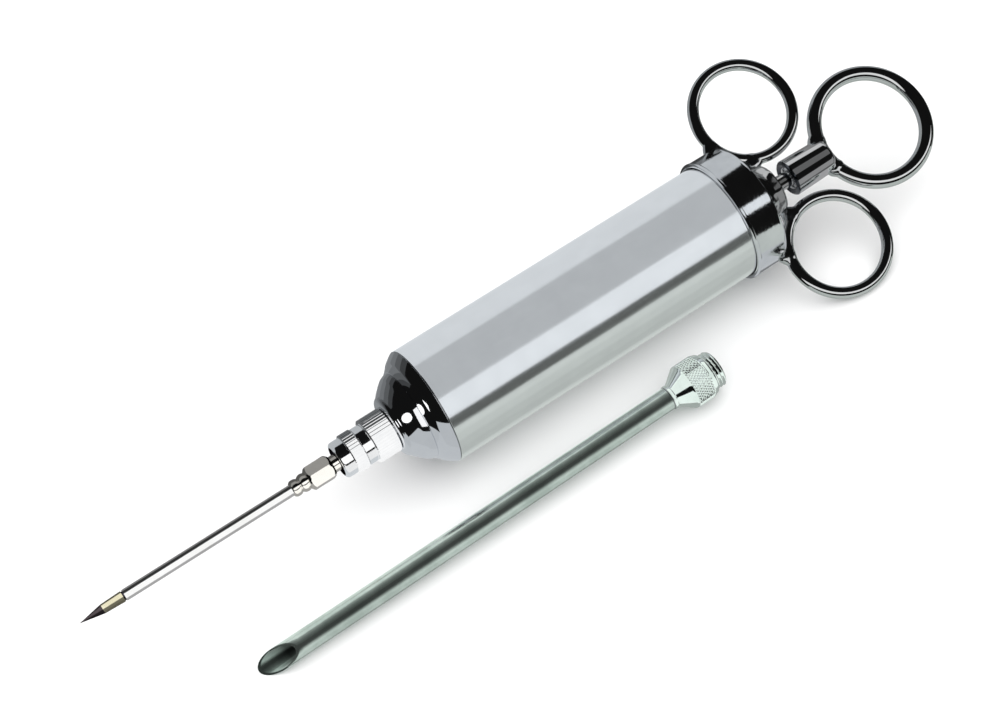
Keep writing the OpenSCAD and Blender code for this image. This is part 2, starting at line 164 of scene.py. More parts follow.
def splines(count, depth, first, last, floor_r, width=0.3):
    """Straight grooves along the axis that fade in over a short slope at both ends."""
    slope = 0.25

    def relief(u, r, a):
        if r < floor_r or not first <= u <= last:
            return 0
        fade = min(1, (u - first) / slope, (last - u) / slope)
        return -depth * fade * groove(count * a / TAU, width)
    return relief


def diamonds(count, lead, depth, first, last, floor_r, width=0.46):
    """Two crossing sets of helical grooves, as a knurling wheel rolls them."""
    slope = 0.3

    def relief(u, r, a):
        if r < floor_r or not first <= u <= last:
            return 0
        fade = min(1, (u - first) / slope, (last - u) / slope)
        turn = count * a / TAU
        cut = max(groove(turn + u / lead, width), groove(turn - u / lead, width))
        return -depth * fade * cut
    return relief


def lumps(height, size, first, last, floor_r):
    """Low irregular waves, as on a soldered surface that was filed by hand."""
    def relief(u, r, a):
        if r < floor_r or not first <= u <= last:
            return 0
        spot = Vector((u, r * math.cos(a), r * math.sin(a))) / size
        return height * noise.noise(spot)
    return relief


# ---------------------------------------------------------------- shapes: (vertices, faces)


def turned(outline, segments=192, relief=None, ends=None):
    """A closed outline of (place, radius) points turned about X.
    relief adds to the radius, and ends moves a point along the axis."""
    verts, faces, rings = [], [], []
    for u, r in (point[:2] for point in outline):
        if r < 1e-6:
            rings.append([len(verts)])
            verts.append((u, 0, 0))
            continue
        rings.append(range(len(verts), len(verts) + segments))
        for k in range(segments):
            a = TAU * k / segments
            reach = r + (relief(u, r, a) if relief else 0)
            place = ends(u, r, a) if ends else u
            verts.append((place, reach * math.cos(a), reach * math.sin(a)))
    for here, there in zip(rings, rings[1:] + rings[:1]):
        if len(here) == len(there) == 1:
            continue
        for k in range(segments):
            n = (k + 1) % segments
            if len(here) == 1:
                faces.append((here[0], there[n], there[k]))
            elif len(there) == 1:
                faces.append((here[k], here[n], there[0]))
            else:
                faces.append((here[k], here[n], there[n], there[k]))
    return verts, faces


def swept(stations, sides):
    """A skin over equal rings of points, closed over its first and last ring."""
    verts = [p for ring in stations for p in ring]
    faces = [(i * sides + k, i * sides + (k + 1) % sides,
              (i + 1) * sides + (k + 1) % sides, (i + 1) * sides + k)
             for i in range(len(stations) - 1) for k in range(sides)]
    last = len(verts) - sides
    faces.append(tuple(range(sides)))
    faces.append(tuple(range(last, last + sides)))
    return verts, faces


def torus(place, across, radius, wire, turns=288, sides=56):
    """A wire ring in the XY plane round (place, across)."""
    verts = []
    for i in range(turns):
        t = TAU * i / turns
        for k in range(sides):
            a = TAU * k / sides
            reach = radius + wire * math.cos(a)
            verts.append((place + reach * math.cos(t), across + reach * math.sin(t),
                          wire * math.sin(a)))
    faces = []
    for i in range(turns):
        for k in range(sides):
            j, n = (i + 1) % turns, (k + 1) % sides
            faces.append((i * sides + k, j * sides + k, j * sides + n, i * sides + n))
    return verts, faces


def fillet(place, across, radius, wire, turn, spread, reach, sharp=5, side=1):
    """A lump of braze along a ring's wire that swells away from the ring's centre.
    turn is its middle and spread its half length, as angles on the ring in degrees."""
    stations, sides, steps = [], 40, 36
    for i in range(steps + 1):
        t = 2 * i / steps - 1
        swell = (1 - t * t) ** 2
        angle = math.radians(turn + spread * t)
        out = Vector((math.cos(angle), math.sin(angle), 0))
        hub = Vector((place, across, 0)) + out * radius
        ring = []
        for k in range(sides):
            a = TAU * k / sides
            lean_out = max(0.0, side * math.cos(a))
            size = wire - 0.12 + 0.24 * swell + reach * swell * lean_out ** sharp
            spot = hub + out * size * math.cos(a) + Vector((0, 0, size * math.sin(a)))
            wave = noise.noise(spot * 0.9) * 0.16 * swell
            ring.append(tuple(spot + (spot - hub).normalized() * wave))
        stations.append(ring)
    return swept(stations, sides)


def hexagon(first, last, flats, chamfer, neck, bore):
    """A hexagonal nut body with turned chamfers, as (vertices, faces)."""
    sides, corner = 96, flats / math.sqrt(3)

    def reach(a, limit):
        """Distance from the axis to the hexagon at an angle, cut off by a turned cone."""
        flat = flats / 2 / math.cos((a + math.pi / 6) % (math.pi / 3) - math.pi / 6)
        return min(flat, limit)
    steps = 10
    stations = []
    for i in range(steps + 1):
        stations.append((first + chamfer * i / steps, neck + (corner - neck) * i / steps))
    for i in range(steps + 1):
        stations.append((last - chamfer * (1 - i / steps), corner - (corner - neck - 0.3) * i / steps))
    rings = [[(u, reach(TAU * k / sides, limit) * math.cos(TAU * k / sides),
               reach(TAU * k / sides, limit) * math.sin(TAU * k / sides)) for k in range(sides)]
             for u, limit in stations]
    inner = [[(u, bore * math.cos(TAU * k / sides), bore * math.sin(TAU * k / sides))
              for k in range(sides)] for u in (last, first)]
    rings += inner
    verts = [p for ring in rings for p in ring]
    faces = []
    for i in range(len(rings)):
        j = (i + 1) % len(rings)
        for k in range(sides):
            n = (k + 1) % sides
            faces.append((i * sides + k, i * sides + n, j * sides + n, j * sides + k))
    return verts, faces


# ---------------------------------------------------------------- objects

SHARP_EDGE = math.radians(32)
GROUPS = ("barrel", "cap", "nose", "knurl", "nut", "chrome", "rear", "hub", "needle", "point",
          "wide", "wide_nut", "floor")
light_groups = {name: bpy.data.collections.new("lit_" + name) for name in GROUPS}


def mesh_object(name, shapes, where):
    """One object from several shapes, smooth apart from its real edges."""
    mesh = bpy.data.meshes.new(name)
    verts, faces = [], []
    for shape_verts, shape_faces in shapes:
        start = len(verts)
        verts += [tuple(MM * c for c in v) for v in shape_verts]
        faces += [tuple(start + i for i in face) for face in shape_faces]
    mesh.from_pydata(verts, [], faces)
    if where is INJECTOR:
        mesh.transform(LEAN)
    work = bmesh.new()
    work.from_mesh(mesh)
    bmesh.ops.recalc_face_normals(work, faces=work.faces)
    for face in work.faces:
        face.smooth = True
    for edge in work.edges:
        edge.smooth = edge.calc_face_angle(0) < SHARP_EDGE
    work.to_mesh(mesh)
    work.free()
    obj = bpy.data.objects.new(name, mesh)
    bpy.context.scene.collection.objects.link(obj)
    obj.matrix_world = where
    return obj


def piece(name, shapes, where, material, group, *nodes):
    """A finished piece that stands for its CAD nodes, hides them and moves with their body."""
    obj = mesh_object(name, shapes, where)
    obj.data.materials.append(material)
    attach(obj, body_of[nodes[0]])
    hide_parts(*nodes)
    light_groups[group].objects.link(obj)


def keep(node, material, group):
    """A CAD node that stays as it is, with a better material."""
    obj = frame["nodes"][node]
    obj.data.materials.clear()
    obj.data.materials.append(material)
    light_groups[group].objects.link(obj)


# ---------------------------------------------------------------- materials


class Shader:
    """A Principled material with short helpers for its nodes."""

    def __init__(self, name):
        self.material = bpy.data.materials.new(name)
        self.material.use_nodes = True
        self.tree = self.material.node_tree
        self.bsdf = self.tree.nodes["Principled BSDF"]
        self.place = self.tree.nodes.new("ShaderNodeTexCoord").outputs["Object"]

    def noise(self, scale, detail=4, rough=0.55, stretch=(1, 1, 1)):
        mapping = self.tree.nodes.new("ShaderNodeMapping")
        mapping.inputs["Scale"].default_value = stretch
        self.tree.links.new(self.place, mapping.inputs["Vector"])
        node = self.tree.nodes.new("ShaderNodeTexNoise")
        node.inputs["Scale"].default_value = scale
        node.inputs["Detail"].default_value = detail
        node.inputs["Roughness"].default_value = rough
        self.tree.links.new(mapping.outputs["Vector"], node.inputs["Vector"])
        return node.outputs["Fac"]

    def spread(self, value, low, high, start=0.35, stop=0.65):
        """Maps a noise from start..stop to low..high."""
        node = self.tree.nodes.new("ShaderNodeMapRange")
        for name, number in (("From Min", start), ("From Max", stop), ("To Min", low), ("To Max", high)):
            node.inputs[name].default_value = number
        self.tree.links.new(value, node.inputs["Value"])
        return node.outputs["Result"]

    def colours(self, value, first, second, start=0.35, stop=0.65):
        node = self.tree.nodes.new("ShaderNodeValToRGB")
        node.color_ramp.elements[0].position = start
        node.color_ramp.elements[1].position = stop
        node.color_ramp.elements[0].color = (*first, 1)
        node.color_ramp.elements[1].color = (*second, 1)
        self.tree.links.new(value, node.inputs["Fac"])
        return node.outputs["Color"]

    def beyond(self, edge, inside, outside, radial=False, blend=0.01):
        """Picks one of two colour outputs by the place along X, or by the distance from X. They
        run into each other over blend to either side of the edge."""
        place = self.place
        if radial:
            flat = self.tree.nodes.new("ShaderNodeVectorMath")
            flat.operation = "MULTIPLY"
            flat.inputs[1].default_value = (0, 1, 1)
            self.tree.links.new(place, flat.inputs[0])
            size = self.tree.nodes.new("ShaderNodeVectorMath")
            size.operation = "LENGTH"
            self.tree.links.new(flat.outputs["Vector"], size.inputs[0])
            value = size.outputs["Value"]
        else:
            split = self.tree.nodes.new("ShaderNodeSeparateXYZ")
            self.tree.links.new(place, split.inputs["Vector"])
            value = split.outputs["X"]
        mix = self.tree.nodes.new("ShaderNodeMix")
        mix.data_type = "RGBA"
        part = self.spread(value, 0, 1, (edge - blend) * MM, (edge + blend) * MM)
        self.tree.links.new(part, mix.inputs["Factor"])
        self.tree.links.new(inside, mix.inputs["A"])
        self.tree.links.new(outside, mix.inputs["B"])
        return mix.outputs["Result"]

    def bumps(self, *layers):
        """Bump layers (height, strength, distance in metres), one on top of another."""
        normal = None
        for height, strength, distance in layers:
            node = self.tree.nodes.new("ShaderNodeBump")
            node.inputs["Strength"].default_value = strength
            node.inputs["Distance"].default_value = distance
            self.tree.links.new(height, node.inputs["Height"])
            if normal:
                self.tree.links.new(normal, node.inputs["Normal"])
            normal = node.outputs["Normal"]
        self.tree.links.new(normal, self.bsdf.inputs["Normal"])

    def link(self, output, name):
        self.tree.links.new(output, self.bsdf.inputs[name])


def metal(name, light, dark, smooth, rough, brush=(1, 1, 1), grain=900, bump=0.05, wave=0.03, painted_light_and_shade=()):
    """Metal: two close colours in soft clouds, patchy roughness, brush lines and a low wave.
    Its last argument lists (edge, colour, by radius, beyond, blend) for surfaces short of an edge, or beyond
    it, whose colour is painted over: painted shade in hollows and grooves, a painted dark reflection on one
    cone and painted light inside one opening."""
    s = Shader(name)
    s.bsdf.inputs["Metallic"].default_value = 1
    clouds = s.noise(140, 3)
    lines = s.noise(grain, 5, 0.6, brush)
    colour = s.colours(clouds, dark, light)
    # Painted shade, dark reflection and light: each listed colour replaces the metal's colour past its edge.
    for edge, painted_colour, radial, beyond, *blend in painted_light_and_shade:
        painted_tone = s.colours(clouds, tuple(0.7 * c for c in painted_colour), painted_colour)
        colour = s.beyond(edge, *((colour, painted_tone) if beyond else (painted_tone, colour)), radial, *blend)
    s.link(colour, "Base Color")
    s.link(s.spread(lines, smooth, rough), "Roughness")
    s.bumps((s.noise(260, 2), wave, 0.0004), (lines, bump, 0.00006))
    return s.material


def soft(name, light, dark, roughness, grain=1400, bump=0.25):
    """Rubber or plastic: no metal, a fine moulded grain."""
    s = Shader(name)
    fine = s.noise(grain, 3)
    s.link(s.colours(s.noise(200, 2), dark, light), "Base Color")
    s.link(s.spread(fine, roughness - 0.06, roughness + 0.06), "Roughness")
    s.bumps((fine, bump, 0.00004))
    return s.material


ALONG = (0.03, 1, 1)
AROUND = (1, 0.04, 0.04)
barrel_steel = metal("barrel_steel", (0.80, 0.805, 0.815), (0.77, 0.775, 0.785), 0.11, 0.17,
                     ALONG, 2600, 0.035, 0.012)
chrome = metal("chrome", (0.90, 0.91, 0.925), (0.86, 0.87, 0.89), 0.025, 0.06, AROUND, 2400, 0.02, 0.012)
# The ferrule's front dish, short of 115.5 mm, is painted dark: painted shade in the hollow.
ferrule_chrome = metal("ferrule_chrome", (0.90, 0.91, 0.925), (0.86, 0.87, 0.89), 0.03, 0.07, AROUND,
                       2400, 0.03, 0.012, painted_light_and_shade=[(115.5, (0.16, 0.17, 0.19), False, False)])
# Surfaces nearer the axis than 4.05 mm are painted near black: painted shade in the lock ring's bore and on
# the adapter's tip inside it.
knurl_chrome = metal("knurl_chrome", (0.92, 0.925, 0.93), (0.86, 0.87, 0.88), 0.06, 0.13,
                     ALONG, 1800, 0.06, 0.03, painted_light_and_shade=[(4.05, (0.03, 0.03, 0.04), True, False)])
cap_chrome = metal("cap_chrome", (0.90, 0.91, 0.925), (0.80, 0.81, 0.83), 0.03, 0.12,
                   (1, 0.4, 0.4), 2200, 0.32, 0.03)
dome_chrome = metal("dome_chrome", (0.86, 0.875, 0.885), (0.70, 0.72, 0.73), 0.05, 0.14, grain=700,
                    bump=0.14, wave=0.35)
ring_chrome = metal("ring_chrome", (0.90, 0.91, 0.92), (0.85, 0.87, 0.87), 0.02, 0.05, grain=500,
                    bump=0.02, wave=0.03)
# The fitting's foot and lugs, beyond -26 mm inside the lock ring, are painted near black: painted shade.
hub_nickel = metal("hub_nickel", (0.91, 0.90, 0.875), (0.85, 0.835, 0.80), 0.04, 0.08, AROUND, 2600, 0.05,
                   painted_light_and_shade=[(-26.0, (0.04, 0.04, 0.045), False, True)])
needle_steel = metal("needle_steel", (0.86, 0.86, 0.86), (0.80, 0.80, 0.79), 0.07, 0.13, ALONG, 3000, 0.05)
# The point's cone is painted dark brown-grey, a painted dark reflection; the groove where the point meets the
# tube is painted near black, painted shade.
point_nickel = metal("point_nickel", (0.80, 0.76, 0.58), (0.66, 0.62, 0.44), 0.09, 0.17, ALONG, 3000, 0.08,
                     painted_light_and_shade=[(-93.1, (0.085, 0.07, 0.075), False, False),
                          (-87.5, (0.05, 0.045, 0.07), False, True)])
rod_steel = metal("rod_steel", (0.84, 0.845, 0.85), (0.76, 0.77, 0.775), 0.06, 0.12, AROUND, 2400, 0.06)
piston_steel = metal("piston_steel", (0.80, 0.80, 0.80), (0.70, 0.70, 0.70), 0.14, 0.24, AROUND, 2400, 0.10)
# The bore is painted near black, painted shade inside the tube; near the slanted opening the tube takes a mid
# grey-green instead, painted light on the inside of the opening, which also darkens the outside there a
# little.
wide_steel = metal("wide_steel", (0.64, 0.70, 0.67), (0.50, 0.56, 0.53), 0.17, 0.27, ALONG, 1500, 0.10, 0.05,
                   painted_light_and_shade=[(2.62, (0.07, 0.08, 0.075), True, False),
                        (-131.6, (0.46, 0.54, 0.505), False, False, 2.6)])
wide_chrome = metal("wide_chrome", (0.86, 0.90, 0.885), (0.76, 0.81, 0.79), 0.05, 0.10, AROUND, 2000, 0.06)
braze_metal = metal("braze_metal", (0.86, 0.87, 0.88), (0.62, 0.64, 0.65), 0.06, 0.17, grain=900,
                    bump=0.25, wave=0.25)
solder_metal = metal("solder_metal", (0.40, 0.41, 0.42), (0.22, 0.23, 0.24), 0.30, 0.45, grain=1500, bump=0.2)
brass = metal("brass", (0.80, 0.60, 0.30), (0.68, 0.49, 0.22), 0.12, 0.22, AROUND, 2400, 0.08)
rubber = soft("rubber", (0.035, 0.035, 0.04), (0.02, 0.02, 0.022), 0.55)
washer_plastic = soft("washer_plastic", (0.88, 0.88, 0.86), (0.80, 0.80, 0.78), 0.42)

# ---------------------------------------------------------------- barrel and nose


def make_barrel():
    first, last, _ = span("barrel_tube")
    cap_first = span("rear_cap")[0]
    outer, bore, thread_h, pitch, depth = 16, 15.2, 0.25, 1.5, 0.5
    thread_first = cap_first + 1.6
    crest = outer + thread_h
    outline = rounded(
        [(first, bore), (first, outer, 0.2), (thread_first - 0.2, outer), (thread_first, crest)]
        + stretch(thread_first + 0.1, last - 0.6, crest, 0.075)
        + [(last - 0.3, outer), (last, outer - 0.15), (last, bore)])
    cut = thread(pitch, depth, thread_first, last - 0.4, outer)
    piece("barrel", [turned(outline, 256, cut)], INJECTOR, barrel_steel, "barrel", "barrel_tube")
    keep("nose_solder_ring", solder_metal, "chrome")


def make_nose():
    front, back, rim = span("nose_cap")
    face, bore, hollow, thread_bore, outlet = 6.6, 15.2, 14.2, 5.05, 2
    web_first = front + 3.9
    web_last = web_first + 1.2
    lip = (front + 1.1, 8.45)
    dome = (-6.2, 11.55)
    shoulder = (-4.55, 12.25)
    step_foot, step_top = (-4.35, 12.15), (-4.25, 12.6)
    flare = (-2.75, 14.2)
    edge = 0.12
    outline = ([(front, thread_bore), (front, face)]
               + curve((front, face), lip, 0.35)[1:]
               + curve(lip, dome, 0.12)[1:]
               + curve(dome, shoulder, 0.06)[1:]
               + curve(shoulder, step_foot, 0.04, 4)[1:]
               + [step_top]
               + curve(step_top, flare, -0.05)[1:]
               + curve(flare, (-edge, rim), 0.08)[1:]
               + [(0, rim - edge), (0, bore), (back, bore), (back, hollow), (0, hollow), (-3, 10.4),
                  (-4.6, 8), (web_last, outlet), (web_first, outlet), (web_first, thread_bore)])
    piece("nose", [turned(outline, 256)], INJECTOR, chrome, "nose", "nose_cap")


# ---------------------------------------------------------------- adapter and lock ring


def knurled_sleeve(first, last, crest, bore):
    """Outline of a knurled band with chamfered ends."""
    drop, slope = 0.3, 0.25
    return rounded(
        [(first, bore), (first, crest - drop, 0.05), (first + slope, crest, 0)]
        + stretch(first + 0.3, last - 0.3, crest, 1)
        + [(last - slope, crest, 0), (last, crest - drop, 0.05), (last, bore)], 0.1)


def knurl_relief(count, first, last, crest):
    """Shallow straight lines that stop just short of both ends of a knurled band."""
    depth, width, margin = 0.08, 0.2, 0.05
    return splines(count, depth, first + margin, last - margin, crest - 0.45, width)


def make_adapter():
    luer_tip, thread_last, crest = span("adapter_body")
    nose_front = span("nose_cap")[0]
    ring_last = span("lock_ring")[1]
    knurl_last = nose_front - 0.1
    knurl_first = knurl_last - 6.4
    thread_r, pitch, depth = 5, 1, 0.5
    passage, luer_r, flange_r, stub_r, neck_r, core_r = 1, 1.95, 3.6, 2.8, 5.1, 4.3
    luer_last = luer_tip + 4.3
    flange_last = luer_tip + 5.05
    neck_first = ring_last + 0.05
    core_first, core_last = knurl_first + 0.3, knurl_last - 0.3
    outline = rounded(
        [(luer_tip, passage), (luer_tip, luer_r), (luer_last, luer_r), (luer_last, flange_r),
         (flange_last, flange_r), (flange_last, stub_r), (neck_first, stub_r), (neck_first, neck_r),
         (core_first, neck_r, 0), (core_first, core_r, 0), (core_last, core_r, 0),
         (core_last, thread_r, 0), (knurl_last, thread_r, 0)]
        + stretch(knurl_last + 0.05, thread_last - 0.4, thread_r, 0.06)
        + [(thread_last - 0.25, thread_r - 0.3, 0), (thread_last, thread_r - 0.5),
           (thread_last, passage)], 0.1)
    screw = thread(pitch, depth, knurl_last + 0.1, thread_last - 0.3, thread_r - 0.3)
    piece("adapter", [turned(outline, 252, screw)], INJECTOR, knurl_chrome, "nut", "adapter_body")
    lines = 42
    sleeve = turned(knurled_sleeve(knurl_first, knurl_last, crest, core_r - 0.1), 24 * lines,
                    knurl_relief(lines, knurl_first, knurl_last, crest))
    piece("adapter_knurl", [sleeve], INJECTOR, knurl_chrome, "knurl", "adapter_body")


def make_lock_ring():
    front, back, crest = span("lock_ring")
    knurl_first = back - 3.5
    rim, bore, lip_bore, core_r = 4.95, 3.85, 2.85, 4.4
    core_first, core_last = knurl_first + 0.3, back - 0.3
    lip_first = back - 0.8
    outline = rounded(
        [(front, bore), (front, rim - 0.95, 0.05)]
        + unrounded((front, rim - 0.9), (front + 1.1, rim), 0.28)
        + [(core_first, rim, 0), (core_first, core_r, 0), (core_last, core_r, 0),
           (core_last, lip_bore), (lip_first, lip_bore), (lip_first, bore)], 0.1)
    piece("lock_nut", [turned(outline, 228)], INJECTOR, knurl_chrome, "nut", "lock_ring")
    lines = 38
    sleeve = turned(knurled_sleeve(knurl_first, back, crest, core_r - 0.1), 24 * lines,
                    knurl_relief(lines, knurl_first, back, crest))
    piece("lock_knurl", [sleeve], INJECTOR, knurl_chrome, "knurl", "lock_ring")


# ---------------------------------------------------------------- needle


def make_needle_fitting():
    front, base, _ = span("needle_hub")
    ring_front = span("lock_ring")[0]
    hex_last = ring_front - 1.6
    hex_first = hex_last - 7.3
    neck, shank, luer, passage, flats, chamfer = 2.2, 1.22, 2.0, 1, 5.9, 1.0
    front_foot, front_crown = (front, 1.75), (front + 1.2, 2.2)
    waist_r = 1.85
    rear_crown, rear_foot = (front + 3.4, 2.4), (hex_first + 0.2, 2.1)
    beads = rounded(
        [(front, shank), (*front_foot, 0.1)]
        + unrounded(front_foot, front_crown, 0.18)
        + unrounded(front_crown, (front + 2.3, waist_r), 0.12)
        + unrounded((front + 2.4, waist_r), rear_crown, 0.12)
        + unrounded(rear_crown, rear_foot, 0.14)
        + [(rear_foot[0], shank)], 0.05)
    base_first, base_r = ring_front + 0.5, 3
    foot_first, socket_first = hex_last - 1, base - 4.7
    foot = rounded(
        [(foot_first, passage), (foot_first, neck), (base_first, neck), (base_first, base_r),
         (base, base_r), (base, luer), (socket_first, luer), (socket_first, passage)], 0.15)
    lug_length, lug_half_width = 1, 1.5
    lug_outline = ((-1, 2.6), (1, 2.6), (1, 3.45), (0.5, 3.68), (-0.5, 3.68), (-1, 3.45))
    corners = len(lug_outline)
    lugs = []
    for side in (-1, 1):
        blade = [(base - u, lug_half_width * y, side * z)
                 for u in (0, lug_length) for y, z in lug_outline]
        lugs.append(swept([blade[:corners], blade[corners:]], corners))
    hexagonal = hexagon(hex_first, hex_last, flats, chamfer, neck, shank)
    piece("needle_fitting", [turned(beads, 96), hexagonal, turned(foot, 96), *lugs], INJECTOR,
          hub_nickel, "hub", "needle_hub")


def make_needle():
    keep("needle_tube", needle_steel, "needle")
    tip = span("needle_point")[0]
    tube_first = span("needle_tube")[0]
    cone = tip + 6.4
    groove_r, plug_r = 1.22, 0.95
    joint, plug_last = tube_first - 0.02, tube_first + 2
    outline = [(tip, 0)] + rounded(
        [(tip + 0.12, 0.03, 0), (cone - 0.1, 1.22, 0), (cone, 1.25, 0.05),
         (tube_first - 0.45, 1.45, 0.1), (tube_first - 0.3, groove_r, 0.05), (joint, groove_r, 0),
         (joint, plug_r, 0), (plug_last, plug_r, 0.1)], 0.1) + [(plug_last, 0)]
    piece("needle_tip", [turned(outline, 96)], INJECTOR, point_nickel, "point", "needle_point")


# ---------------------------------------------------------------- rear cap, gland and finger rings


def make_cap():
    first, last, outer = span("rear_cap")
    bore, seat, hole = 16.3, last - 1.1, 5.4
    body = outer - 0.2
    outline = rounded(
        [(first, bore), (first, outer - 0.35, 0.1), (first + 0.35, outer, 0.25), (first + 0.75, outer, 0.15),
         (first + 0.95, body, 0.1), (last - 1.25, body - 0.05, 0.1), (last - 1.0, body + 0.03, 0.1)]
        + [(p[0], p[1], 0) for p in curve((last - 0.8, body), (last, outer - 1.05), 0.22)]
        + [(last, hole), (seat, hole), (seat, bore)], 0.1)
    piece("screw_cap", [turned(outline, 256)], INJECTOR, cap_chrome, "cap", "rear_cap")


def make_gland():
    first, last, base = span("gland_dome")
    hole, inner, rod_hole, top = 5.4, 4.4, 2.4, 7.3
    bush_last = span("gland_bush")[1]
    outline = ([(first, hole), (first, base)]
               + curve((first + 0.35, base + 0.1), (last - 2.6, top), -0.7, 24)
               + curve((last - 1.1, top), (last, top - 1.1), 0.3)
               + curve((last, 5.4), (last - 0.35, 4.2), -0.1)
               + [(last - 0.35, rod_hole + 0.2), (last - 0.5, rod_hole), (last - 1.2, rod_hole),
                  (last - 1.2, inner), (bush_last, inner), (bush_last, hole)])
    waves = lumps(0.55, 3.2, first + 0.3, last - 0.2, inner + 1.2)
    piece("gland", [turned(outline, 160, waves)], INJECTOR, dome_chrome, "rear", "gland_dome")
    keep("gland_bush", brass, "chrome")
    keep("rod_seal", rubber, "chrome")
    keep("cap_gasket", washer_plastic, "chrome")
    keep("outlet_washer", washer_plastic, "chrome")


def make_finger_rings():
    offset = (far_ring - near_ring).length / 2 / MM
    place = (near_ring.x - seam_x) / MM
    lo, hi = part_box("finger_ring_near")
    wire = 1.6
    radius = (hi.x - lo.x) / 2 / MM - wire
    cap_last, cap_r = span("rear_cap")[1:]
    gland_last = span("gland_dome")[1]
    cap_turn = math.degrees(math.atan2(cap_r - offset, cap_last - place))
    gland_turn = math.degrees(math.atan2(7.3 - offset, gland_last - 1 - place))
    cap_spread, gland_spread, cap_reach, gland_reach, sharp = 10, 12, 1.5, 1.9, 3
    for side, name in ((-1, "near"), (1, "far")):
        piece("ring_" + name, [torus(place, side * offset, radius, wire)], INJECTOR, ring_chrome,
              "chrome", "finger_ring_" + name)
        lumps_of_braze = [
            fillet(place, side * offset, radius, wire, side * cap_turn, cap_spread, cap_reach, sharp),
            fillet(place, side * offset, radius, wire, side * gland_turn, gland_spread, gland_reach,
                   sharp)]
        piece("braze_" + name, lumps_of_braze, INJECTOR, braze_metal, "chrome", "finger_braze_" + name)


# ---------------------------------------------------------------- plunger


def make_plunger():
    first, last, collar = span("plunger_rod")
    piston_back = span("piston_rear_disc")[1]
    collar_last = piston_back + 1.5
    rod = 2.15
    outline = [(first, 0)] + rounded(
        [(first, rod - 0.3), (first + 0.3, rod, 0.05), (piston_back, rod, 0), (piston_back, collar),
         (collar_last, collar), (collar_last, rod, 0.2), (last, rod, 0)], 0.15) + [(last, 0)]
    piece("rod", [turned(outline, 96)], INJECTOR, rod_steel, "rear", "plunger_rod")
    for node in ("piston_nut", "piston_front_disc", "piston_core", "piston_rear_disc"):
        keep(node, piston_steel, "chrome")
    for node in ("piston_front_cup", "piston_rear_cup"):
        keep(node, rubber, "chrome")


def make_thumb_ring():
    first, last, front_r = span("thumb_ferrule")
    rear_r, dish, depth, rod = 4.8, 4.0, 1.6, 2.15
    dish_floor = first + depth
    socket_last = dish_floor + 5
    outline = ([(socket_last, 0), (socket_last, rod), (dish_floor, rod), (dish_floor - 0.1, rod + 0.6)]
               + curve((dish_floor - 0.1, rod + 0.7), (first + 0.1, dish), 0.3)
               + curve((first, dish + 0.25), (first + 0.75, front_r), 0.12)
               + [(first + 1.0, front_r - 0.03)]
               + curve((last - 1.6, rear_r), (last - 0.02, rear_r - 1.7), 0.42)
               + [(last, 0)])
    piece("ferrule", [turned(outline, 128)], INJECTOR, ferrule_chrome, "rear", "thumb_ferrule")
    lo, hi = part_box("thumb_ring")
    wire = 2
    radius = (hi.x - lo.x) / 2 / MM - wire
    place = ((hi.x + lo.x) / 2 - seam_x) / MM
    piece("ring_thumb", [torus(place, 0, radius, wire)], INJECTOR, ring_chrome, "chrome", "thumb_ring")
    turn, spread, reach, sharp = 15, 9, 0.9, 3
    lumps_of_braze = [fillet(place, 0, radius, wire, 180 + side * turn, spread, reach, sharp)
                      for side in (-1, 1)]
    piece("braze_thumb", lumps_of_braze, INJECTOR, braze_metal, "chrome", "thumb_braze")


# ---------------------------------------------------------------- wide needle

# Lengths of its stretches from its open end to its tip, and the slanted opening's turn from up
THREAD, SHOULDER, KNURL, CONE, TUBE, BEVEL = 2.8, 1.6, 5.2, 5.2, 122.6, 10.7
BEVEL_TURN = 35


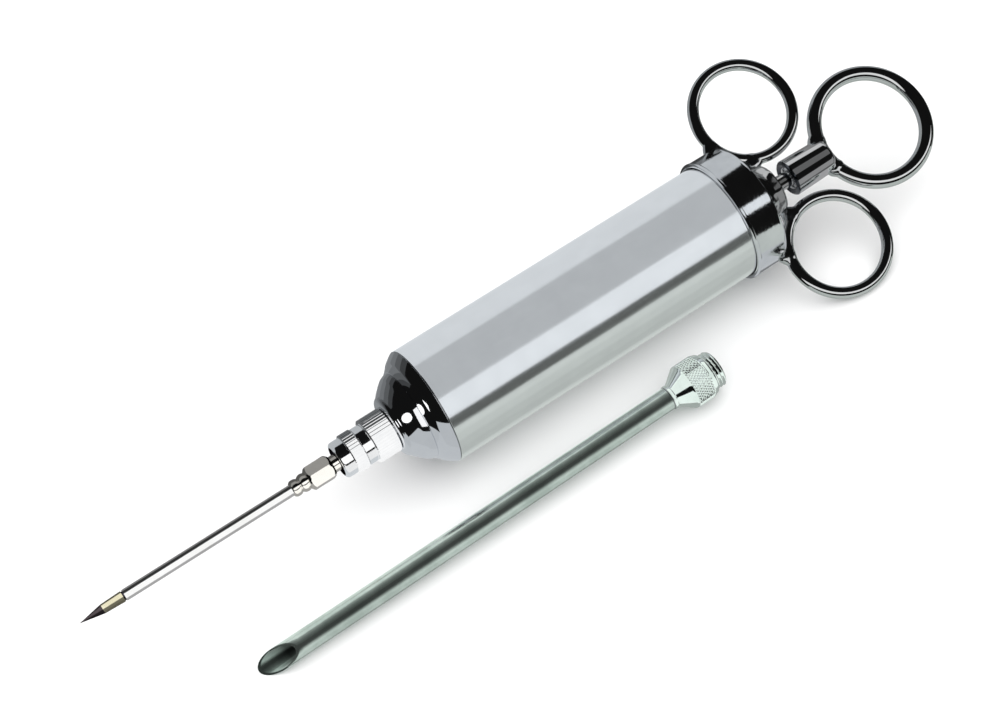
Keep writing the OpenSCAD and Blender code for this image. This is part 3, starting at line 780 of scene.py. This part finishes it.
def make_wide_needle():
    wide_r, bore, crest, thread_r = 3.05, 2.55, 6.1, 5.0
    shoulder_last = -THREAD
    knurl_last = shoulder_last - SHOULDER
    knurl_first = knurl_last - KNURL
    cone_first = knurl_first - CONE
    tip = cone_first - TUBE
    opening = math.radians(90 + BEVEL_TURN)
    edge = 0.07

    def bevel(u, r, a):
        """Slides the tip's points back to the slanted plane that opens the needle."""
        if u > tip + 0.5:
            return u
        return u + BEVEL * (r * math.cos(a - opening) + wide_r) / (2 * wide_r)

    tube = [(tip, bore + edge), (tip, wide_r - edge), (tip + 0.1, wide_r), (tip + BEVEL + 1, wide_r),
            (shoulder_last, wide_r), (shoulder_last, bore), (tip + BEVEL + 1, bore), (tip + 0.1, bore)]
    piece("wide_tube", [turned(tube, 160, None, bevel)], WIDE, wide_steel, "wide", "wide_needle_tube")

    lip = cone_first + 0.75
    outline = rounded(
        [(cone_first, wide_r), (cone_first, wide_r + 0.3, 0.12), (lip, wide_r + 0.3, 0.12),
         (lip + 0.3, wide_r + 0.1, 0.1), (knurl_first - 0.35, crest - 0.12, 0.15),
         (knurl_first, crest, 0.05)]
        + stretch(knurl_first + 0.05, knurl_last - 0.05, crest, 0.05)
        + [(knurl_last, crest, 0.05), (knurl_last + 0.25, crest - 0.12, 0.05),
           (shoulder_last - 0.35, crest - 0.45, 0.2), (shoulder_last, crest - 0.8, 0.1),
           (shoulder_last, thread_r - 0.35, 0)]
        + stretch(shoulder_last + 0.05, -0.45, thread_r, 0.05)
        + [(-0.3, thread_r - 0.3, 0), (0, thread_r - 0.55, 0.1), (0, bore), (shoulder_last, bore),
           (shoulder_last, wide_r)], 0.12)
    rows, lead, line_depth, line_width, pitch, thread_depth = 46, 1.15, 0.3, 0.34, 1, 0.52
    rolled = diamonds(rows, lead, line_depth, knurl_first + 0.1, knurl_last - 0.1, crest - 0.5,
                      line_width)
    screw = thread(pitch, thread_depth, shoulder_last + 0.1, -0.35, thread_r - 0.4)

    def relief(u, r, a):
        return rolled(u, r, a) + screw(u, r, a)
    piece("wide_nut", [turned(outline, 14 * rows, relief)], WIDE, wide_chrome, "wide_nut", "wide_needle_nut")
    seam = [(cone_first - 0.3, wide_r - 0.02), (cone_first - 0.3, wide_r + 0.05),
            (cone_first, wide_r + 0.16), (cone_first, wide_r - 0.02)]
    piece("wide_solder", [turned(rounded(seam, 0.05), 96)], WIDE, solder_metal, "wide",
          "wide_needle_solder")


make_barrel()
make_nose()
make_adapter()
make_lock_ring()
make_needle_fitting()
make_needle()
make_cap()
make_gland()
make_finger_rings()
make_plunger()
make_thumb_ring()
make_wide_needle()
for obj in light_groups["wide"].objects[:] + light_groups["wide_nut"].objects[:]:
    obj.visible_glossy = False

# ---------------------------------------------------------------- floor and light


def make_floor():
    side = 3.0
    mesh = bpy.data.meshes.new("floor")
    mesh.from_pydata([(-side, -side, 0), (side, -side, 0), (side, side, 0), (-side, side, 0)], [],
                     [(0, 1, 2, 3)])
    floor = bpy.data.objects.new("floor", mesh)
    bpy.context.scene.collection.objects.link(floor)
    s = Shader("paper")
    s.link(s.colours(s.noise(3, 2), (0.91, 0.91, 0.91), (0.93, 0.93, 0.93)), "Base Color")
    s.bsdf.inputs["Roughness"].default_value = 0.9
    s.bsdf.inputs["Specular IOR Level"].default_value = 0
    mesh.materials.append(s.material)
    floor.visible_glossy = False
    floor.visible_shadow = False
    light_groups["floor"].objects.link(floor)


def area_light(name, group, shape, size, power, colour, place):
    """An area light that only one group of pieces reflects and the camera doesn't see."""
    lamp = bpy.data.lights.new(name, "AREA")
    lamp.shape = shape
    lamp.size, lamp.size_y = size
    lamp.color = colour
    lamp.energy = power
    obj = bpy.data.objects.new(name, lamp)
    obj.matrix_world = place
    obj.visible_camera = False
    obj.light_linking.receiver_collection = light_groups[group]
    bpy.context.scene.collection.objects.link(obj)


def panel(name, group, low, high, radiance, colour=(1, 1, 1), length=4.0, shift=0.0, distance=1.0):
    """A long soft box parallel to the barrel. low and high are angles about the barrel's axis from
    straight up, positive towards +Y."""
    middle = math.radians((low + high) / 2)
    width = 2 * distance * math.tan(math.radians(abs(high - low) / 2))
    away = Vector((0, math.sin(middle), math.cos(middle)))
    along = Vector((1, 0, 0))
    turn = Matrix((along, away.cross(along), away)).transposed().to_4x4()
    area_light(name, group, "RECTANGLE", (length, width), radiance * math.pi * length * width,
               colour, Matrix.Translation(axis + away * distance + along * shift) @ turn)


def round_box(name, group, way, size, radiance, colour=(1, 1, 1), distance=1.0):
    """A round soft box that faces the barrel's nose from one direction, size metres across."""
    away = Vector(way).normalized()
    turn = away.to_track_quat("Z", "Y").to_matrix().to_4x4()
    area_light(name, group, "DISK", (size, size), radiance * math.pi * math.pi * size * size / 4,
               colour, Matrix.Translation(INJECTOR.translation + away * distance) @ turn)


GREEN = (0.93, 1.0, 0.96)
COOL = (0.92, 0.965, 1.0)
PLAIN = (1, 1, 1)
CREAM = (1.0, 0.99, 0.965)

# What each group of pieces mirrors: bands of (low angle, high angle, radiance, colour). Angles
# below -90 degrees or so are the paper under the object, and the gaps between bands are black.
BANDS = {
    "barrel": [(38.7, 91, 0.84, COOL), (91, 144.5, 0.82, COOL), (-37.3, 38.7, 0.58, COOL),
               (-76.4, -37.3, 1.0, COOL), (-96.5, -76.4, 0.125, GREEN), (-111, -96.5, 0.74, GREEN),
               (-128, -111, 0.67, GREEN), (-148, -128, 0.60, GREEN), (-172, -148, 0.57, GREEN),
               (-215.5, -172, 0.70, GREEN)],
    "cap": [(110, 144.5, 0.05, COOL), (91.7, 110, 0.17, COOL), (31.6, 91.7, 0.56, COOL),
            (-52, -36, 0.85, COOL), (-134.5, -94.6, 0.56, GREEN), (-190, -134.5, 0.56, COOL),
            (-215.5, -190, 0.2, COOL)],
    "nose": [(64, 80, 0.05, COOL), (80, 96, 0.11, COOL), (96, 112, 0.18, COOL),
             (112, 128, 0.24, COOL), (128, 144.5, 0.28, COOL), (-150, -92, 0.54, COOL),
             (-215.5, -150, 0.58, COOL)],
    "knurl": [(60, 144.5, 0.16, COOL), (22, 60, 0.06, COOL), (-60, 22, 1.0, PLAIN),
              (-140, -60, 1.05, PLAIN), (-215.5, -140, 1.0, PLAIN)],
    "nut": [(46, 144.5, 0.52, COOL), (-76, -34, 1.15, PLAIN), (-140, -87, 0.9, PLAIN),
            (-215.5, -140, 0.7, COOL)],
    "chrome": [(60, 144.5, 0.3, COOL), (-70, -44, 0.75, PLAIN), (-150, -100, 0.5, GREEN),
               (-215.5, -150, 0.42, GREEN)],
    "rear": [(98, 144.5, 0.18, PLAIN), (63, 98, 0.22, PLAIN), (34, 63, 0.58, PLAIN),
             (-42, -4, 0.12, PLAIN), (-112, -80, 0.26, PLAIN), (-125, -112, 0.1, PLAIN),
             (-215.5, -125, 0.36, PLAIN)],
    "hub": [(50, 144.5, 0.1, CREAM), (12, 50, 0.32, CREAM), (-60, -30, 1.2, CREAM),
            (-125, -72, 1.15, CREAM), (-215.5, -125, 0.4, CREAM)],
    "needle": [(62, 144.5, 0.25, PLAIN), (-4, 62, 0.035, PLAIN), (-55, -4, 1.15, PLAIN),
               (-104, -55, 1.15, PLAIN), (-215.5, -104, 0.45, PLAIN)],
    "point": [(50, 144.5, 0.15, PLAIN), (-45, 50, 1.25, PLAIN), (-100, -45, 0.22, PLAIN),
              (-215.5, -100, 0.16, PLAIN)],
    "wide": [(30, 144.5, 1.0, GREEN), (10, 30, 0.36, GREEN), (-9, 10, 0.2, GREEN),
             (-27, -9, 0.12, GREEN), (-62, -27, 0.06, GREEN), (-72, -62, 0.13, GREEN),
             (-84, -72, 0.48, GREEN), (-110, -84, 0.85, GREEN), (-165, -110, 0.75, GREEN),
             (-185, -165, 0.2, GREEN), (-215.5, -185, 0.8, GREEN)],
    "wide_nut": [(90, 144.5, 0.5, GREEN), (36, 90, 1.1, GREEN), (-45, 36, 1.0, GREEN),
                 (-148, -80, 1.05, GREEN), (-215.5, -148, 0.45, GREEN)],
}


def make_light():
    for group, bands in BANDS.items():
        for i, (low, high, radiance, colour) in enumerate(bands):
            panel("%s_%d" % (group, i), group, low, high, radiance, colour)
    panel("nose_band", "nose", -78, -26, 1.05, length=1.2, shift=-0.3)
    panel("nut_side", "wide_nut", -80, -45, 0.95, GREEN, shift=2.0)
    round_box("nose_spot", "nose", (-0.953, -0.172, 0.242), 0.3, 1.4)
    sun = bpy.data.lights.new("sky", "SUN")
    sun.energy = 4.3
    sun.angle = math.radians(120)
    sky = bpy.data.objects.new("sky", sun)
    sky.light_linking.receiver_collection = light_groups["floor"]
    bpy.context.scene.collection.objects.link(sky)

    world = bpy.data.worlds.new("studio")
    bpy.context.scene.world = world
    world.use_nodes = True
    tree = world.node_tree
    background = tree.nodes["Background"]
    seen = tree.nodes.new("ShaderNodeLightPath").outputs["Is Camera Ray"]
    mix = tree.nodes.new("ShaderNodeMix")
    mix.data_type = "RGBA"
    mix.inputs["A"].default_value = (0.006, 0.006, 0.006, 1)
    mix.inputs["B"].default_value = (0.92, 0.92, 0.92, 1)
    tree.links.new(seen, mix.inputs["Factor"])
    tree.links.new(mix.outputs["Result"], background.inputs["Color"])


def make_camera():
    """The view of the photograph: from the needle's side, above and in front."""
    place = Vector((-137.17, -296.47, 437.79)) * MM
    forward = Vector((0.24567, 0.56341, -0.7888)).normalized()
    up = Vector((0.51477, 0.61369, 0.59866))
    right = forward.cross(up).normalized()
    up = right.cross(forward)
    lens = bpy.data.cameras.new("camera")
    lens.sensor_width = 36
    lens.lens = 75.6
    lens.clip_start, lens.clip_end = 0.01, 20
    camera = bpy.data.objects.new("camera", lens)
    turn = Matrix((right, up, -forward)).transposed().to_4x4()
    camera.matrix_world = Matrix.Translation(place) @ turn
    bpy.context.scene.collection.objects.link(camera)
    bpy.context.scene.camera = camera
    bpy.context.scene.view_settings.view_transform = "Standard"


make_floor()
make_light()
make_camera()

bpy.context.view_layer.update()
